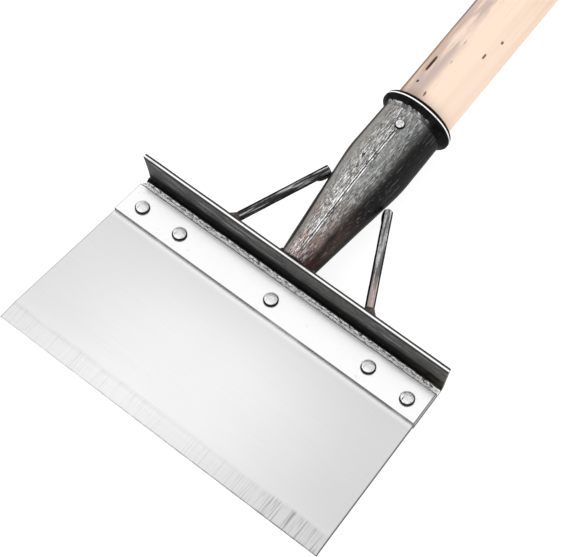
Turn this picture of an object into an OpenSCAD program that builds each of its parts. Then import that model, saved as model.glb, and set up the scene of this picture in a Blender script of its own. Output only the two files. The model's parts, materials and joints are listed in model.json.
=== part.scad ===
// Long-handled floor scraper: a wide steel blade riveted under a clamp strip to a
// folded bracket, a rolled socket welded behind it with two round-bar braces, and a
// wooden handle held in the socket by one cross-head screw.
//
// The tool lies at rest on the floor: +Z is up, +X runs across the blade and +Y runs
// from the cutting edge towards the butt of the handle. The origin is on the floor,
// under the middle of the tool's length. Everything is in millimetres.

/* [Blade] */
// Width of the blade at its cutting edge
blade_width = 200; // [160:1:240]
// Width that the blade has lost at its rear edge, both sides together
blade_narrowing = 10.6; // [0:0.2:14]
// Thickness of the blade
blade_thickness = 1.5; // [1:0.1:2]
// Length of the ground bevel at the cutting edge
bevel_length = 11; // [6:0.5:20]
// Thickness that is left at the very edge
edge_thickness = 0.3; // [0.2:0.1:0.8]
// How far the blade's rear edge stands out behind the clamp strip
blade_overhang = 2.2; // [1:0.1:3]

/* [Clamp strip] */
// Distance from the cutting edge to the strip's front edge
strip_front = 82.2; // [60:0.2:110]
// Size of the strip from front to back
strip_depth = 19.8; // [18:0.2:24]
// Thickness of the strip
strip_thickness = 2; // [1.5:0.1:3]

/* [Bracket] */
// Thickness of the folded sheet
bracket_thickness = 2.5; // [2:0.1:3]
// Distance from the strip's rear edge to the back face of the standing leg
heel_gap = 7.8; // [7:0.1:10]
// Height of the standing leg above the top of the blade
leg_height = 19; // [16:0.5:24]
// How far the top corners of the standing leg stand out past its foot
leg_flare = 3; // [0:0.2:5]
// Inside radius of the fold
fold_radius = 2; // [1:0.1:2.5]

/* [Rivets] */
// Radius of the rivet heads
head_radius = 3.7; // [3:0.1:4.5]
// Height of the rivet heads
head_height = 1.9; // [1.5:0.1:2.5]
// Radius of the rivet shanks
shank_radius = 2; // [1.5:0.1:2.5]

/* [Socket] */
// Angle between the handle and the blade
handle_rise = 8; // [4:0.5:14]
// Height of the socket's axis above the blade, at the standing leg
axis_height = 11.7; // [10:0.1:13]
// Outer radius of the socket where it meets the leg
foot_radius = 9.9; // [8:0.1:11]
// Outer radius of the socket at its shoulder
shoulder_radius = 17.85; // [17:0.05:19]
// Outer radius of the socket at its mouth
mouth_radius = 17.5; // [17:0.05:18]
// Distance along the axis from the leg to the mouth
socket_length = 103; // [95:1:120]
// Wall thickness of the socket
wall = 1.8; // [1.2:0.1:2.2]
// Radius of the rolled ring round the mouth
ring_radius = 20.7; // [19.5:0.1:22]
// Size of the rolled ring along the axis
ring_length = 8.5; // [6:0.5:10]

/* [Braces] */
// Radius of the round bars
brace_radius = 2.5; // [2:0.1:3]
// Foot of the left brace, measured across from the middle
left_foot = 40.1; // [36:0.1:50]
// Foot of the right brace, measured across from the middle
right_foot = 44.4; // [36:0.1:50]
// Distance from the leg to the upper ends of the braces
brace_reach = 52.5; // [45:0.5:56]

/* [Handle] */
// Radius of the wooden handle
handle_radius = 16.8; // [16:0.1:17.5]
// Distance from the standing leg to the butt of the handle
handle_end = 1090; // [600:5:1400]
// Radius of the rounding at the butt
butt_rounding = 9; // [3:0.5:14]
// Radius of the screw's head
screw_head_radius = 2.8; // [2.4:0.1:3.2]

/* [Hidden] */

round_fn = 64;
fit_gap = 0.05;             // clearance of a shank in its hole
overcut = 1;                // how far a cutting tool runs past the face it cuts

// Blade and bracket, measured from the middle of the cutting edge:
// y towards the handle, z = 0 on the top face of the blade
strip_rear = strip_front + strip_depth;
blade_rear = strip_rear + blade_overhang;
heel = strip_rear + heel_gap;
side_slope = blade_narrowing / 2 / blade_rear;
fold_outside = fold_radius + bracket_thickness;
underside = -blade_thickness - bracket_thickness;

// Rivets: place across the tool and distance from the front edge of the strip.
// The two on the right were drilled a little out of line.
rivet_across = [-84.5, -59.8, -0.3, 60.1, 85.1];
rivet_from_front = [9, 9.1, 9.1, 10.2, 8.6];
head_wall = 0.7;            // upright part of a rivet's head
tail_radius = head_radius - 0.3;
tail_height = head_height - 0.5;

// Socket, measured along its axis from the back face of the standing leg
foot_start = -4;            // the foot starts inside the leg and is cut off flush
shoulder_start = 57.5;
shoulder_end = 70;
shoulder_rise = 0.95;       // radius that the socket gains over its shoulder
shoulder_steps = 6;
cone_angle = atan((shoulder_radius - shoulder_rise - foot_radius) / shoulder_start);
socket_stations = concat(
    [foot_start, shoulder_start],
    [for (i = [1:shoulder_steps])
        shoulder_start + (shoulder_end - shoulder_start) * i / shoulder_steps],
    [socket_length]
);
ring_start = socket_length - ring_length + 1;
ring_end = ring_start + ring_length;
ring_rounding = 2.4;
ring_bore = handle_radius + 0.25;
seam_start = 3;
seam_width = 3;
seam_height = 0.35;
foot_weld_size = 2.2;
foot_weld_top = 4.5;        // how far the fillet reaches above the socket's axis

// Screw that holds the handle in the socket
screw_place = 87;
screw_length = 20;
screw_radius = 1.7;
screw_point = 4;
screw_head_height = 1.7;
screw_hole_radius = 1.8;
screw_seat = socket_radius(screw_place) - 0.15;
cross_turn = 25;
cross_length = 3.4;
cross_width = 0.6;
cross_depth = 0.8;
seam_end = screw_place - 4;

// Handle inside the socket
tenon_start = 32;
tenon_gap = 0.15;

// Braces
brace_foot_height = 12;     // above the blade, at the back face of the leg
brace_foot_depth = 2.6;     // behind the back face of the leg
brace_clear = brace_radius + 0.1; // from the socket's surface to the centre of the bar
bead_radius = 1.6;
bead_length = 9;
lower_weld_sunk = 4;        // how far the foot's fillet is carried into the leg before it is trimmed

// Lying on the floor, the tool rests on the ring and on the butt of the handle
butt_contact = handle_end - butt_rounding;
ring_contact = ring_end - ring_rounding;
rest_pitch = atan((ring_radius - handle_radius) / (butt_contact - ring_contact));
rest_lift = ring_radius * cos(rest_pitch) + ring_contact * sin(rest_pitch);
head_pitch = handle_rise + rest_pitch;
tip_back = heel * cos(head_pitch) + (axis_height + blade_thickness) * sin(head_pitch);
butt_front = butt_contact * cos(rest_pitch) + butt_rounding
    + (handle_radius - butt_rounding) * sin(rest_pitch);
middle = (butt_front - tip_back) / 2;

// ---------------------------------------------------------------- frames

// Places the socket's own frame (axis along +Y, zero at the leg) on the floor
module lay_down()
    translate([0, -middle, rest_lift])
        rotate([-rest_pitch, 0, 0])
            children();

// Places the blade's own frame under the socket's axis
module head_frame()
    lay_down()
        rotate([-handle_rise, 0, 0])
            translate([0, -heel, -axis_height])
                children();

// Turns a body of revolution drawn along +Z so that it lies along the handle
module along_axis()
    rotate([-90, 0, 0])
        children();

// Turns what is drawn along +Z so that it starts at one point and runs towards another
module aim(a, b) {
    run = b - a;
    translate(a)
        rotate([0, acos(run[2] / norm(run)), atan2(run[1], run[0])])
            children();
}

// ---------------------------------------------------------------- blade, strip and bracket

// Half the width of the blade at a distance from the cutting edge
function half_width(y) = blade_width / 2 - side_slope * y;

// Plan of a plate that follows the blade's tapering sides
module tapered_plan(front, rear)
    polygon([
        [-half_width(front), front], [half_width(front), front],
        [half_width(rear), rear], [-half_width(rear), rear],
    ]);

module rivet_holes(r)
    for (i = [0:len(rivet_across) - 1])
        translate([rivet_across[i], strip_front + rivet_from_front[i], underside - overcut])
            cylinder(r = r, h = strip_thickness - underside + 2 * overcut, $fn = 32);

module blade()
    color("gainsboro")
        head_frame()
            difference() {
                translate([0, 0, -blade_thickness])
                    linear_extrude(blade_thickness)
                        tapered_plan(0, blade_rear);
                bevel_cut();
                rivet_holes(shank_radius + fit_gap);
            }

// The wedge of steel that grinding takes off the top of the cutting edge
module bevel_cut()
    rotate([90, 0, 90])
        linear_extrude(blade_width + 2 * overcut, center = true)
            polygon([
                [-overcut, edge_thickness - blade_thickness],
                [0, edge_thickness - blade_thickness],
                [bevel_length, 0], [bevel_length, overcut], [-overcut, overcut],
            ]);

module clamp_strip()
    color("whitesmoke")
        head_frame()
            difference() {
                linear_extrude(strip_thickness)
                    tapered_plan(strip_front, strip_rear);
                rivet_holes(shank_radius + fit_gap);
            }

// Section of the folded sheet: flat leg, round fold and standing leg
module fold_section() {
    inner = [heel - fold_outside, underside + fold_outside];
    translate([strip_front, underside])
        square([inner[0] - strip_front, bracket_thickness]);
    translate([heel - bracket_thickness, inner[1]])
        square([bracket_thickness, leg_height - inner[1]]);
    translate(inner)
        intersection() {
            difference() {
                circle(fold_outside, $fn = round_fn);
                circle(fold_radius, $fn = round_fn);
            }
            translate([0, -fold_outside])
                square(fold_outside);
        }
}

// Front outline of the standing leg, whose ends sweep out towards the top corners
module leg_outline() {
    foot = half_width(heel);
    steps = 8;
    side = [for (i = [0:steps]) let (t = i / steps) [foot + leg_flare * pow(t, 1.6), t * leg_height]];
    polygon(concat(
        side,
        [for (i = [steps:-1:0]) [-side[i][0], side[i][1]]]
    ));
}

module bracket()
    color("dimgray")
        head_frame()
            difference() {
                intersection() {
                    rotate([90, 0, 90])
                        linear_extrude(2 * blade_width, center = true)
                            fold_section();
                    union() {
                        translate([0, 0, underside - overcut])
                            linear_extrude(overcut - underside)
                                tapered_plan(strip_front - overcut, heel + overcut);
                        translate([0, heel + overcut, 0])
                            rotate([90, 0, 0])
                                linear_extrude(2 * fold_outside)
                                    leg_outline();
                    }
                }
                rivet_holes(shank_radius + fit_gap);
            }

// Button head: a short upright wall under a shallow dome
module button(r, h) {
    dome = h - head_wall;
    ball = (r * r + dome * dome) / (2 * dome);
    intersection() {
        cylinder(r = r, h = h, $fn = round_fn);
        translate([0, 0, h - ball])
            sphere(ball, $fn = round_fn);
    }
}

module rivet(number)
    color("silver")
        head_frame()
            translate([rivet_across[number - 1], strip_front + rivet_from_front[number - 1], 0]) {
                translate([0, 0, strip_thickness])
                    button(head_radius, head_height);
                translate([0, 0, underside])
                    cylinder(r = shank_radius, h = strip_thickness - underside, $fn = 32);
                translate([0, 0, underside])
                    mirror([0, 0, 1])
                        button(tail_radius, tail_height);
            }

// ---------------------------------------------------------------- socket

// Radius of the socket's outside at a distance along its axis
function socket_radius(k) =
    let (bend = (k - shoulder_start) / (shoulder_end - shoulder_start),
         cone_end = shoulder_radius - shoulder_rise)
    k <= shoulder_start ? foot_radius + k * tan(cone_angle)
    : k < shoulder_end ? cone_end + shoulder_rise * sin(90 * bend)
    : shoulder_radius + (mouth_radius - shoulder_radius)
        * (k - shoulder_end) / (socket_length - shoulder_end);

// Solid of revolution with the socket's outline, grown by a given amount
module socket_body(grow = 0, from = foot_start, to = socket_length)
    along_axis()
        rotate_extrude($fn = round_fn)
            polygon(concat(
                [[0, from]],
                [[socket_radius(from) + grow, from]],
                [for (k = socket_stations) if (k > from && k < to) [socket_radius(k) + grow, k]],
                [[socket_radius(to) + grow, to], [0, to]]
            ));

// Everything in front of the back face of the standing leg, in the socket's frame
module in_front_of_leg()
    rotate([-handle_rise, 0, 0])
        translate([-blade_width, -2 * blade_width, -blade_width])
            cube(2 * blade_width);

module screw_hole()
    translate([0, screw_place, 0])
        cylinder(r = screw_hole_radius, h = 2 * ring_radius, $fn = 32);

module socket()
    color("dimgray")
        lay_down()
            difference() {
                socket_body();
                socket_body(-wall, foot_start - overcut, socket_length + overcut);
                in_front_of_leg();
                screw_hole();
            }

// The mouth's edge, rolled outwards into a rounded ring
module mouth_ring()
    color("black")
        lay_down()
            difference() {
                along_axis()
                    rotate_extrude($fn = round_fn)
                        ring_section();
                socket_body();
            }

module ring_section()
    difference() {
        translate([ring_bore, ring_start])
            square([ring_radius - ring_bore, ring_length]);
        for (end = [0, 1])
            translate([ring_radius - ring_rounding,
                       end ? ring_end - ring_rounding : ring_start + ring_rounding])
                difference() {
                    translate([0, end ? 0 : -ring_rounding - overcut])
                        square(ring_rounding + overcut);
                    circle(ring_rounding, $fn = round_fn);
                }
    }

// Flattened bead that closes the seam where the rolled sheet meets itself
module seam_weld()
    color("gray")
        lay_down()
            difference() {
                intersection() {
                    socket_body(seam_height, seam_start, seam_end);
                    translate([-seam_width / 2, 0, 0])
                        cube([seam_width, socket_length, 2 * ring_radius]);
                }
                socket_body();
            }

// Fillet round the foot of the socket, kept below the top of the leg
module foot_weld()
    color("dimgray")
        lay_down()
            difference() {
                intersection() {
                    along_axis()
                        rotate_extrude($fn = round_fn)
                            foot_weld_section();
                    translate([-blade_width, -blade_width, -2 * blade_width])
                        cube([2 * blade_width, 2 * blade_width, 2 * blade_width + foot_weld_top]);
                }
                socket_body();
                in_front_of_leg();
            }

module foot_weld_section()
    translate([foot_radius, 0])
        polygon([
            [-1, foot_start], [foot_weld_size * 1.3, foot_start],
            [foot_weld_size, 0], [foot_weld_size * 0.75, foot_weld_size * 0.9],
            [foot_weld_size * 0.5, foot_weld_size * 1.5], [-1, foot_weld_size * 1.6],
        ]);

// ---------------------------------------------------------------- braces

// Ends of a brace in the socket's frame; side is -1 on the left and 1 on the right
function brace_foot(side) =
    let (across = side < 0 ? left_foot : right_foot,
         y = brace_foot_depth,
         z = brace_foot_height - axis_height)
    [side * across,
     y * cos(handle_rise) + z * sin(handle_rise),
     z * cos(handle_rise) - y * sin(handle_rise)];

function brace_top(side) =
    [side * (socket_radius(brace_reach) + brace_clear), brace_reach, 0];

module brace_bar(side)
    aim(brace_foot(side), brace_top(side))
        cylinder(r = brace_radius, h = norm(brace_top(side) - brace_foot(side)), $fn = round_fn);

module brace(side)
    color("dimgray")
        lay_down()
            difference() {
                brace_bar(side);
                in_front_of_leg();
            }

// Bead of weld metal in the groove under a brace's upper end, let into both pieces a little
module upper_weld(side) {
    start = brace_foot(side);
    end = brace_top(side);
    reach = norm(end - start);
    color("dimgray")
        lay_down()
            translate([-side * brace_radius * 0.7, 0, -brace_radius * 0.8])
                aim(start, end)
                    translate([0, 0, reach - bead_length])
                        rotate_extrude($fn = 32)
                            polygon([
                                [0, 0], [bead_radius * 0.6, bead_length * 0.08],
                                [bead_radius, bead_length * 0.3], [bead_radius, bead_length * 0.7],
                                [bead_radius * 0.6, bead_length * 0.92], [0, bead_length],
                            ]);
}

// Sloping fillet round a brace's foot
module lower_weld(side)
    color("dimgray")
        lay_down()
            difference() {
                aim(brace_foot(side), brace_top(side))
                    translate([0, 0, -lower_weld_sunk])
                        cylinder(r1 = brace_radius + 2.2, r2 = brace_radius + 0.1,
                                 h = lower_weld_sunk + 2.4, $fn = 32);
                aim(brace_foot(side), brace_top(side))
                    cylinder(r = brace_radius, h = 12, center = true, $fn = round_fn);
                in_front_of_leg();
            }

// ---------------------------------------------------------------- handle and screw

module handle() {
    wood_stations = [for (k = socket_stations) if (k > tenon_start && k < socket_length) k];
    inset = wall + tenon_gap;
    color("burlywood")
        lay_down()
            difference() {
                along_axis()
                    rotate_extrude($fn = round_fn)
                        union() {
                            polygon(concat(
                                [[0, tenon_start], [socket_radius(tenon_start) - inset - 2, tenon_start],
                                 [socket_radius(tenon_start + 2) - inset, tenon_start + 2]],
                                [for (k = wood_stations) if (k > tenon_start + 2)
                                    [socket_radius(k) - inset, k]],
                                [[socket_radius(socket_length) - inset, socket_length],
                                 [handle_radius, ring_end + fit_gap],
                                 [handle_radius, butt_contact], [0, butt_contact]]
                            ));
                            translate([handle_radius - butt_rounding, butt_contact])
                                intersection() {
                                    circle(butt_rounding, $fn = round_fn);
                                    square(butt_rounding);
                                }
                            translate([0, butt_contact])
                                square([handle_radius - butt_rounding, butt_rounding]);
                        }
                translate([0, 0, -fit_gap])
                    screw_shank();
            }
}

module screw_shank()
    translate([0, screw_place, screw_seat - screw_length]) {
        translate([0, 0, screw_point])
            cylinder(r = screw_radius, h = screw_length - screw_point, $fn = 32);
        cylinder(r1 = screw_radius / 4, r2 = screw_radius, h = screw_point, $fn = 32);
    }

module handle_screw()
    color("silver")
        lay_down() {
            screw_shank();
            translate([0, screw_place, screw_seat])
                difference() {
                    button(screw_head_radius, screw_head_height);
                    for (turn = [cross_turn, cross_turn + 90])
                        rotate([0, 0, turn])
                            translate([-cross_length / 2, -cross_width / 2, screw_head_height - cross_depth])
                                cube([cross_length, cross_width, screw_head_height]);
                }
        }

blade();
clamp_strip();
bracket();
rivet(1);  // rivet_1
rivet(2);  // rivet_2
rivet(3);  // rivet_3
rivet(4);  // rivet_4
rivet(5);  // rivet_5
socket();
mouth_ring();
seam_weld();
foot_weld();
brace(-1);  // brace_left
brace(1);  // brace_right
upper_weld(-1);  // upper_weld_left
upper_weld(1);  // upper_weld_right
lower_weld(-1);  // lower_weld_left
lower_weld(1);  // lower_weld_right
handle();
handle_screw();
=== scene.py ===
"""Looks of a long-handled floor scraper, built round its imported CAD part.

Every piece is drawn in one of two local frames that follow the CAD part:

* the head frame: X across the blade, Y from the cutting edge towards the handle,
  Z up from the top face of the blade;
* the socket frame: Y along the handle, starting at the back face of the bracket's
  standing leg, Z up.

The drawing functions and the fields of the classes take millimetres. The finishes work on the
pieces' own coordinates, which are in metres.
"""

from __future__ import annotations

import json
import logging
import math
from dataclasses import dataclass, field
from enum import Enum
from typing import Callable, Sequence

import bmesh
import bpy
from mathutils import Matrix, Quaternion, Vector, noise


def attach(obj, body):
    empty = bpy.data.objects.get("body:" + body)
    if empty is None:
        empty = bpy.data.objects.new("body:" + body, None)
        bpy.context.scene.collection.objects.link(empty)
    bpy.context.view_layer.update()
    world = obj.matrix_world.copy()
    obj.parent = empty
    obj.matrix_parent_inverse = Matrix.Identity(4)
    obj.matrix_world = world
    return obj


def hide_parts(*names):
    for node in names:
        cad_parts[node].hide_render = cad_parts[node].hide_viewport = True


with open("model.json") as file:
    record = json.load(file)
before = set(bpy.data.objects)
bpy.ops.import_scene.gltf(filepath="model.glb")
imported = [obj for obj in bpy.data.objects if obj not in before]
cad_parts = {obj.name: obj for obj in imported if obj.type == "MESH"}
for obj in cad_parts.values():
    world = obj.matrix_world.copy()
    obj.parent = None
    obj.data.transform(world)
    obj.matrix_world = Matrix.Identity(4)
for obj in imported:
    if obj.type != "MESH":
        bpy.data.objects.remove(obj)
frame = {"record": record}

LOG = logging.getLogger("floor_scraper")
MM = 0.001
BODY = "root"

Point = tuple[float, float, float]


class Slot(Enum):
    """Material slots of the record."""

    BLADE = "blade_steel"
    BRIGHT = "bright_steel"
    BLACK = "black_steel"
    RIVET = "rivet_steel"
    SOCKET = "socket_steel"
    WELD = "weld_metal"
    WOOD = "handle_wood"


class Side(Enum):
    """Side of the tool, seen from above with the blade in front."""

    LEFT = -1
    RIGHT = 1


# ---------------------------------------------------------------- sizes


@dataclass(frozen=True)
class Sizes:
    """Sizes of the tool in millimetres, the same as the CAD part's."""

    blade_width: float = 200.0
    blade_narrowing: float = 10.6
    blade_thickness: float = 1.5
    bevel_length: float = 11.0
    edge_thickness: float = 0.3
    strip_front: float = 82.2
    strip_depth: float = 19.8
    strip_thickness: float = 2.0
    blade_overhang: float = 2.2
    bracket_thickness: float = 2.5
    heel_gap: float = 7.8
    leg_height: float = 19.0
    fold_radius: float = 2.0
    handle_rise: float = 8.0
    axis_height: float = 11.7
    foot_radius: float = 9.9
    shoulder_radius: float = 17.85
    shoulder_rise: float = 0.95
    shoulder_start: float = 57.5
    shoulder_end: float = 70.0
    mouth_radius: float = 17.5
    socket_length: float = 103.0
    wall: float = 1.8
    ring_radius: float = 20.7
    ring_length: float = 8.5
    ring_rounding: float = 2.4
    ring_bore: float = 17.05
    brace_radius: float = 2.5
    left_foot: float = 40.1
    right_foot: float = 44.4
    brace_reach: float = 52.5
    brace_foot_height: float = 12.0
    brace_foot_depth: float = 2.6
    handle_radius: float = 16.8
    handle_end: float = 1090.0
    butt_rounding: float = 9.0
    tenon_start: float = 32.0
    tenon_gap: float = 0.15
    seam_width: float = 3.0
    seam_start: float = 3.0
    seam_end: float = 83.0
    screw_place: float = 87.0
    screw_head_radius: float = 2.8
    screw_head_height: float = 1.7
    grip_station: float = 600.0

    @property
    def strip_rear(self) -> float:
        """Distance of the strip's rear edge from the cutting edge."""
        return self.strip_front + self.strip_depth

    @property
    def blade_rear(self) -> float:
        """Distance of the blade's rear edge from the cutting edge."""
        return self.strip_rear + self.blade_overhang

    @property
    def heel(self) -> float:
        """Distance of the standing leg's back face from the cutting edge."""
        return self.strip_rear + self.heel_gap

    @property
    def underside(self) -> float:
        """Height of the bracket's underside."""
        return -self.blade_thickness - self.bracket_thickness

    @property
    def ring_start(self) -> float:
        """Station where the rolled ring starts."""
        return self.socket_length - self.ring_length + 1

    def half_width(self, y: float) -> float:
        """Half the width of the blade at a distance from the cutting edge."""
        return self.blade_width / 2 - self.blade_narrowing / 2 * y / self.blade_rear

    def socket_radius(self, k: float) -> float:
        """Outer radius of the socket at a station along its axis.

        Args:
            k: Station along the axis, in millimetres.

        Returns:
            The radius in millimetres.
        """
        cone_end = self.shoulder_radius - self.shoulder_rise
        if k <= self.shoulder_start:
            return self.foot_radius + (cone_end - self.foot_radius) * k / self.shoulder_start
        if k < self.shoulder_end:
            bend = (k - self.shoulder_start) / (self.shoulder_end - self.shoulder_start)
            return cone_end + self.shoulder_rise * math.sin(math.pi / 2 * bend)
        run = (k - self.shoulder_end) / (self.socket_length - self.shoulder_end)
        return self.shoulder_radius + (self.mouth_radius - self.shoulder_radius) * run


SIZES = Sizes()

# Place of each rivet: across the blade, and behind the strip's front edge, in millimetres.
RIVET_PLACES = ((-84.5, 9.0), (-59.8, 9.1), (-0.3, 9.1), (60.1, 10.2), (85.1, 8.6))


# ---------------------------------------------------------------- local frames


@dataclass(frozen=True)
class LocalFrame:
    """A right-handed frame in which pieces are drawn."""

    origin: Vector
    along: Vector
    up: Vector

    @property
    def matrix(self) -> Matrix:
        """Matrix that takes the frame's own coordinates to the row frame.

        Returns:
            The matrix.
        """
        across = self.along.cross(self.up)
        turn = Matrix((across, self.along, self.up)).transposed()
        return Matrix.Translation(self.origin) @ turn.to_4x4()

    def point(self, x: float, y: float, z: float) -> Vector:
        """Place in the row frame of a point given in millimetres."""
        return self.matrix @ (Vector((x, y, z)) * MM)

    def turned(self, degrees: float, shift: Point) -> LocalFrame:
        """Frame pitched nose-up about X, with its origin shifted in its own directions.

        Args:
            degrees: Pitch in degrees.
            shift: Shift of the origin in millimetres, in the new frame's directions.

        Returns:
            The new frame.
        """
        across = self.along.cross(self.up)
        turn = Quaternion(across, math.radians(-degrees))
        along, up = turn @ self.along, turn @ self.up
        offset = across * shift[0] + along * shift[1] + up * shift[2]
        return LocalFrame(self.origin + offset * MM, along, up)


def socket_frame() -> LocalFrame:
    """Frame of the socket, taken from the record's grip mount.

    Returns:
        Frame with its origin at the back face of the standing leg.
    """
    mounts = {m["name"]: m for m in frame["record"]["mounts"]}
    grip = mounts["handle_grip"]
    along = Vector(grip["axis"]).normalized()
    up = Vector((1, 0, 0)).cross(along)
    return LocalFrame(Vector(grip["pos_m"]) - along * SIZES.grip_station * MM, along, up)


SOCKET = socket_frame()
HEAD = SOCKET.turned(SIZES.handle_rise, (0, -SIZES.heel, -SIZES.axis_height))


# ---------------------------------------------------------------- drawing


def smooth(low: float, high: float, value: float) -> float:
    """Smooth step from 0 at low to 1 at high."""
    t = min(1.0, max(0.0, (value - low) / (high - low)))
    return t * t * (3 - 2 * t)


def direction(azimuth: float, elevation: float) -> Vector:
    """Unit vector towards an azimuth, counted from the front, and an elevation, in degrees."""
    a, e = math.radians(azimuth), math.radians(elevation)
    return Vector((math.sin(a) * math.cos(e), -math.cos(a) * math.cos(e), math.sin(e)))


def waver(x: float, y: float, z: float, seed: float = 0.0) -> float:
    """Smooth unevenness between about -1 and 1 at a place."""
    return noise.noise(Vector((x + seed * 17.3, y - seed * 5.1, z + seed * 3.7)))


@dataclass
class Draft:
    """Vertices and faces of a piece while it is being drawn, in millimetres."""

    points: list[Point] = field(default_factory=list)
    faces: list[tuple[int, ...]] = field(default_factory=list)

    def row(self, points: Sequence[Point]) -> list[int]:
        """Adds a row of points and gives back their numbers.

        Args:
            points: Points in millimetres.

        Returns:
            Numbers of the points.
        """
        start = len(self.points)
        self.points.extend(points)
        return list(range(start, start + len(points)))

    def bridge(self, a: Sequence[int], b: Sequence[int], closed: bool = True) -> None:
        """Joins two rows of the same length with quads.

        Args:
            a: First row.
            b: Second row.
            closed: Whether the rows are loops.
        """
        count = len(a)
        for i in range(count if closed else count - 1):
            j = (i + 1) % count
            self.faces.append((a[i], a[j], b[j], b[i]))

    def cap(self, loop: Sequence[int]) -> None:
        """Closes a loop with triangles that meet at its centre.

        Args:
            loop: Numbers of the loop's points.
        """
        size = len(loop)
        centre = tuple(sum(self.points[i][axis] for i in loop) / size for axis in range(3))
        (middle,) = self.row([centre])
        for i in range(size):
            self.faces.append((loop[i], loop[(i + 1) % size], middle))

    def sheet_cap(self, loop: Sequence[int]) -> None:
        """Closes a loop that runs out along one side of a sheet and back along the other.

        Args:
            loop: Numbers of the loop's points.
        """
        last = len(loop) - 1
        for i in range(len(loop) // 2 - 1):
            self.faces.append((loop[i], loop[i + 1], loop[last - i - 1], loop[last - i]))

    def tube(self, rows: Sequence[Sequence[Point]], folded: bool = False) -> None:
        """Draws a tube through loops of the same length and closes its ends.

        Args:
            rows: Loops of points, one after another.
            folded: Whether the section is a folded sheet, drawn out and back.
        """
        loops = [self.row(r) for r in rows]
        for a, b in zip(loops, loops[1:]):
            self.bridge(a, b)
        for end in (loops[0], loops[-1]):
            if folded:
                self.sheet_cap(end)
            else:
                self.cap(end)

    def lathe(
        self,
        outline: Sequence[tuple[float, float]],
        sides: int,
        shape: Callable[[float, float, float], float] | None = None,
        closed: bool = False,
    ) -> None:
        """Turns an outline about the Y axis.

        Args:
            outline: Pairs of radius and station, in order.
            sides: Number of sides round the axis.
            shape: Gives a change of radius from radius, station and angle.
            closed: Whether the outline is a loop, as for a ring or a pipe.
        """
        loops = []
        for radius, station in outline:
            loop = []
            for i in range(sides):
                angle = 2 * math.pi * i / sides
                r = radius + (shape(radius, station, angle) if shape else 0.0)
                loop.append((r * math.sin(angle), station, r * math.cos(angle)))
            loops.append(self.row(loop))
        for a, b in zip(loops, loops[1:]):
            self.bridge(a, b)
        if closed:
            self.bridge(loops[-1], loops[0])
        else:
            self.cap(loops[0])
            self.cap(loops[-1])

    def piece(self, name: str, place: LocalFrame | Matrix, slot: Slot, *nodes: str) -> bpy.types.Object:
        """Makes the drawn piece and ties it to the CAD part.

        Args:
            name: Name of the piece.
            place: Frame or matrix that the piece is drawn in.
            slot: A material slot; not used.
            nodes: CAD nodes that the piece stands for.

        Returns:
            The new object.
        """
        mesh = bpy.data.meshes.new(name)
        mesh.from_pydata([tuple(c * MM for c in p) for p in self.points], [], self.faces)
        mesh.validate()
        mesh.shade_smooth()
        made = bpy.data.objects.new(name, mesh)
        bpy.context.scene.collection.objects.link(made)
        made.matrix_world = place.matrix if isinstance(place, LocalFrame) else place
        set_face_directions(made)
        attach(made, BODY)
        if nodes:
            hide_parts(*nodes)
        return made


def set_face_directions(made: bpy.types.Object) -> None:
    """Turns every face of a closed mesh outwards.

    Args:
        made: The piece.
    """
    bm = bmesh.new()
    bm.from_mesh(made.data)
    bmesh.ops.recalc_face_normals(bm, faces=bm.faces)
    bm.to_mesh(made.data)
    bm.free()


def soften(made: bpy.types.Object, width: float, degrees: float = 35.0, segments: int = 2) -> None:
    """Rounds the sharp edges of a piece.

    Args:
        made: The piece.
        width: Width of the rounding in millimetres.
        degrees: Smallest angle between faces that counts as an edge.
        segments: Number of faces across the rounding.
    """
    bevel = made.modifiers.new("soft edges", "BEVEL")
    bevel.width = width * MM
    bevel.segments = segments
    bevel.limit_method = "ANGLE"
    bevel.angle_limit = math.radians(degrees)
    bevel.harden_normals = True


def dress(made: bpy.types.Object, material: bpy.types.Material) -> None:
    """Gives a piece its one material."""
    made.data.materials.clear()
    made.data.materials.append(material)


def stations(start: float, end: float, step: float) -> list[float]:
    """Evenly spaced values from start to end, no further apart than step."""
    count = max(1, math.ceil((end - start) / step - 1e-9))
    return [start + (end - start) * i / count for i in range(count + 1)]


# ---------------------------------------------------------------- finishes


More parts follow.
